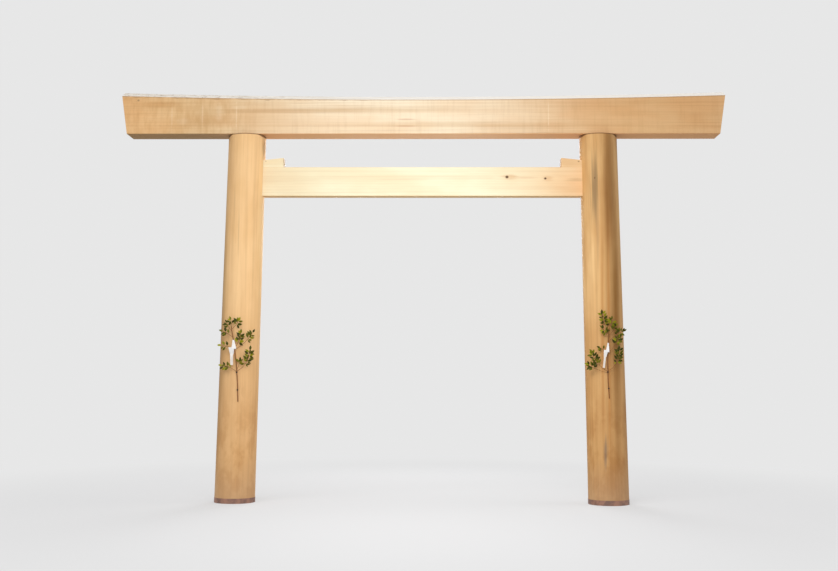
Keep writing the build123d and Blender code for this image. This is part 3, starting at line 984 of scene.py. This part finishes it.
def tube_faces(stations, sides):
    """The sides and the two ends of a tube of rings, which lie one after another."""
    faces = []
    for i in range(stations - 1):
        here, ahead = i * sides, (i + 1) * sides
        for j in range(sides):
            k = (j + 1) % sides
            faces.append([here + k, here + j, ahead + j, ahead + k])
    faces.append(list(range(sides)))
    faces.append([(stations - 1) * sides + j for j in reversed(range(sides))])
    return faces


def cord_mesh(node):
    """Three-strand cord wound round the stem."""
    middle, axis, length = winding_of(node)
    length -= CORD_END_ROOM
    out = axis.cross(Vector((0, 1, 0))).normalized()
    over = axis.cross(out)
    orbit = STEM_RADIUS + CORD_GAP + CORD_RADIUS
    points = []
    for i in range(CORD_STATIONS):
        share = i / (CORD_STATIONS - 1)
        turn = 2 * math.pi * CORD_TURNS * share
        away = out * math.cos(turn) + over * math.sin(turn)
        centre = middle + axis * length * (share - 0.5) + away * orbit
        for j in range(CORD_SIDES):
            angle = 2 * math.pi * j / CORD_SIDES
            strand = math.cos(STRANDS * (angle - STRAND_TWIST * turn))
            reach = CORD_RADIUS * (1 - STRAND_DEPTH + STRAND_DEPTH * strand)
            points.append(centre + (away * math.cos(angle) + axis * math.sin(angle)) * reach)
    return smooth_mesh(node, points, tube_faces(CORD_STATIONS, CORD_SIDES))


def hemp():
    """Twisted hemp, darker where it is dirty."""
    hollow, straw, dirt = (0.22, 0.14, 0.065), (0.50, 0.38, 0.21), (0.16, 0.10, 0.05)
    net = Material("hemp_cord")
    twist = net.noise(net.where, 520.0, 3.0)
    patch = net.noise(net.where, 120.0, 2.0)
    colour = net.mix(net.span(twist, 0.35, 0.65), hollow, straw)
    colour = net.mix(net.span(patch, 0.5, 0.7, 0.0, 0.4), colour, dirt)
    rough = net.span(twist, 0.2, 0.8, 0.75, 0.95)
    return net.finish(colour, rough, net.bump(twist, 0.6, 0.0008))


# Paper

# The mesh's step, how far below its top the paper still hangs stiffly, its waves out of its plane
# and along it, and the least angle of a fold
PAPER_STEP = 0.007
PAPER_HELD = 0.06
PAPER_WAVE = 0.0024
PAPER_SWAY = 0.0012
PAPER_WAVE_SCALE = 17
FOLD_ANGLE = math.radians(24)

# Heights between which the lower panels fall into shade
PAPER_SHADE = (1.78, 1.66)


def paper_mesh(node, seed):
    """The folded streamer, with the slight waves of paper that has hung outdoors."""
    shell = shell_of(node)
    low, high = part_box(node)
    for axis, along in ((0, Vector((1, 0, 0))), (2, Vector((0, 0, 1)))):
        for step in range(1, math.ceil((high[axis] - low[axis]) / PAPER_STEP)):
            everything = list(shell.verts) + list(shell.edges) + list(shell.faces)
            bmesh.ops.bisect_plane(shell, geom=everything, dist=MERGE, plane_no=along,
                                   plane_co=along * (low[axis] + step * PAPER_STEP))
    for vert in shell.verts:
        hang = min(1.0, (high.z - vert.co.z) / PAPER_HELD)
        here = Vector((vert.co.x, 0.0, vert.co.z)) * PAPER_WAVE_SCALE + Vector((seed, seed, 0))
        vert.co.y += PAPER_WAVE * hang * noise.noise(here)
        vert.co.x += PAPER_SWAY * hang * noise.noise(here * 0.7 + Vector((9, 3, 1)))
    bmesh.ops.recalc_face_normals(shell, faces=shell.faces)
    mesh = bpy.data.meshes.new("fine_" + node)
    shell.to_mesh(mesh)
    shell.free()
    mesh.shade_smooth()
    mesh.set_sharp_from_angle(angle=FOLD_ANGLE)
    return mesh


def paper():
    """White handmade paper with upright fibres."""
    grey, white = (0.86, 0.84, 0.83), (0.91, 0.885, 0.86)
    thread_grey, shade = (0.76, 0.74, 0.72), (0.84, 0.78, 0.71)
    net = Material("white_paper")
    pulp = net.noise(net.where, 420.0, 4.0, 0.6)
    thread = net.noise(net.stretch(net.where, 1.0, 1.0, 0.12), 700.0, 2.0)
    colour = net.mix(net.span(pulp, 0.3, 0.7), grey, white)
    colour = net.mix(net.span(thread, 0.62, 0.75, 0.0, 0.3), colour, thread_grey)
    height = net.split(net.where)[2]
    colour = net.stain(net.span(height, *PAPER_SHADE, 0.0, 0.9), colour, shade)
    return net.finish(colour, net.span(pulp, 0.2, 0.8, 0.7, 0.9), net.bump(pulp, 0.12, 0.0006))


LEAF_GREEN, TWIG_BARK, HEMP_CORD, WHITE_PAPER = leaf_green(), bark(), hemp(), paper()
for seed, (name, side) in enumerate((("left", -1), ("right", 1))):
    leaves, stem = name + "_sprig_leaves", name + "_sprig_stem"
    tie, streamer = name + "_streamer_tie", name + "_streamer"
    stand_for(leaf_mesh(leaves, streamer, side, seed, PAIRED[name]), leaves, LEAF_GREEN)
    stand_for(bark_mesh(stem), stem, TWIG_BARK)
    stand_for(cord_mesh(tie), tie, HEMP_CORD)
    stand_for(paper_mesh(streamer, seed), streamer, WHITE_PAPER)


# Stage

# How bright the backdrop looks, and how brightly the world lights the gate
BACKDROP = 0.80
SKY_LIGHT = 0.36

# The floor looks pale, lights the gate from below as this darker grey, and fades into the backdrop
# between these distances
FLOOR_HALF = 150.0
FLOOR_BOUNCE = (0.34, 0.33, 0.32)
FADE_FROM, FADE_TO = 3.0, 8.0


def floor():
    """A pale floor that keeps the shadow and fades into the backdrop."""
    mesh = bpy.data.meshes.new("floor")
    corners = [(-1, -1), (1, -1), (1, 1), (-1, 1)]
    mesh.from_pydata([(x * FLOOR_HALF, y * FLOOR_HALF, 0) for x, y in corners], [], [(0, 1, 2, 3)])
    obj = bpy.data.objects.new("floor", mesh)
    bpy.context.scene.collection.objects.link(obj)
    net = Material("pale_floor")
    seen = net.seen()
    grit = net.noise(net.where, 30.0, 4.0, 0.6)
    pale = net.mix(grit, (0.60, 0.60, 0.61), (0.64, 0.64, 0.65))
    net.finish(net.mix(seen, FLOOR_BOUNCE, pale), 0.9)
    glow = net.feed(net.add("ShaderNodeEmission"), Strength=BACKDROP)
    away = net.vector("LENGTH", net.where)
    fade = net.times(net.span(away, FADE_FROM, FADE_TO, 0.5, 1.0), seen)
    blend = net.feed(net.add("ShaderNodeMixShader"), fade, net.bsdf.outputs[0], glow.outputs[0])
    net.put(net.out.inputs[0], blend.outputs[0])
    mesh.materials.append(net.material)


def world():
    """Even soft light, behind which the camera sees the backdrop."""
    sky = bpy.data.worlds.new("studio")
    bpy.context.scene.world = sky
    sky.use_nodes = True
    net = Net(sky.node_tree)
    shade = net.add("ShaderNodeBackground")
    strength = net.span(net.seen(), 0.0, 1.0, SKY_LIGHT, BACKDROP)
    net.feed(shade, Color=(1.0, 1.0, 1.0, 1.0), Strength=strength)
    net.feed(net.add("ShaderNodeOutputWorld"), shade.outputs[0])


# Lamps

GATE_MIDDLE = (0, 0, 2.6)
GATE_FOOT = (0, 0, 0)
SOFT_BOX = {"shape": "RECTANGLE", "size": 3.0, "size_y": 2.5}


def lamp(kind, name, place, aim, power, **values):
    """A lamp that the camera doesn't see. The values say how large its light is."""
    data = bpy.data.lights.new(name, kind)
    data.energy = power
    for key, value in values.items():
        setattr(data, key, value)
    obj = bpy.data.objects.new(name, data)
    obj.location = place
    obj.rotation_euler = (Vector(aim) - Vector(place)).to_track_quat("-Z", "Y").to_euler()
    obj.visible_camera = False
    bpy.context.scene.collection.objects.link(obj)


# Camera

# The photograph's width and the camera's focal length, both in pixels
PHOTO_WIDTH = 838
FOCAL_PIXELS = 1168.05

# The sensor in millimetres, the place in metres and the angles in radians
SENSOR_WIDTH = 36.0
CAMERA_PLACE = (0.2551, -14.0, 1.4977)
PITCH, YAW, ROLL = 0.0774, -0.0206, 0.0034


def camera():
    """The photograph's camera: eye height 1.5 m, 14 m in front, tilted up by 4.4 degrees."""
    level = math.cos(PITCH)
    ahead = Vector((math.sin(YAW) * level, math.cos(YAW) * level, math.sin(PITCH)))
    right = Vector((math.cos(YAW), -math.sin(YAW), 0.0))
    up = right.cross(ahead)
    right, up = (
        math.cos(ROLL) * right + math.sin(ROLL) * up,
        math.cos(ROLL) * up - math.sin(ROLL) * right,
    )
    data = bpy.data.cameras.new("camera")
    data.sensor_width = SENSOR_WIDTH
    data.sensor_fit = "HORIZONTAL"
    data.lens = SENSOR_WIDTH * FOCAL_PIXELS / PHOTO_WIDTH
    obj = bpy.data.objects.new("camera", data)
    turn = Matrix((right, up, -ahead)).transposed()
    obj.matrix_world = Matrix.Translation(CAMERA_PLACE) @ turn.to_4x4()
    bpy.context.scene.collection.objects.link(obj)
    bpy.context.scene.camera = obj


floor()
world()
lamp("AREA", "front", (0, -6.0, 4.6), GATE_MIDDLE, 154, **SOFT_BOX)
lamp("AREA", "behind", (0, 5.5, 4.6), GATE_MIDDLE, 180, **SOFT_BOX)
lamp("POINT", "between", (0, -2.0, 2.4), GATE_FOOT, 43, shadow_soft_size=0.6)
lamp("SUN", "key", (-5, -10, 9), GATE_FOOT, 1.0, angle=math.radians(50))
lamp("SUN", "overhead", (0, 1, 10), GATE_FOOT, 0.6, angle=math.radians(80))
lamp("SUN", "side", (10, 0, 5), GATE_FOOT, 0.6, angle=math.radians(40))
camera()

bpy.context.scene.view_settings.view_transform = "Standard"
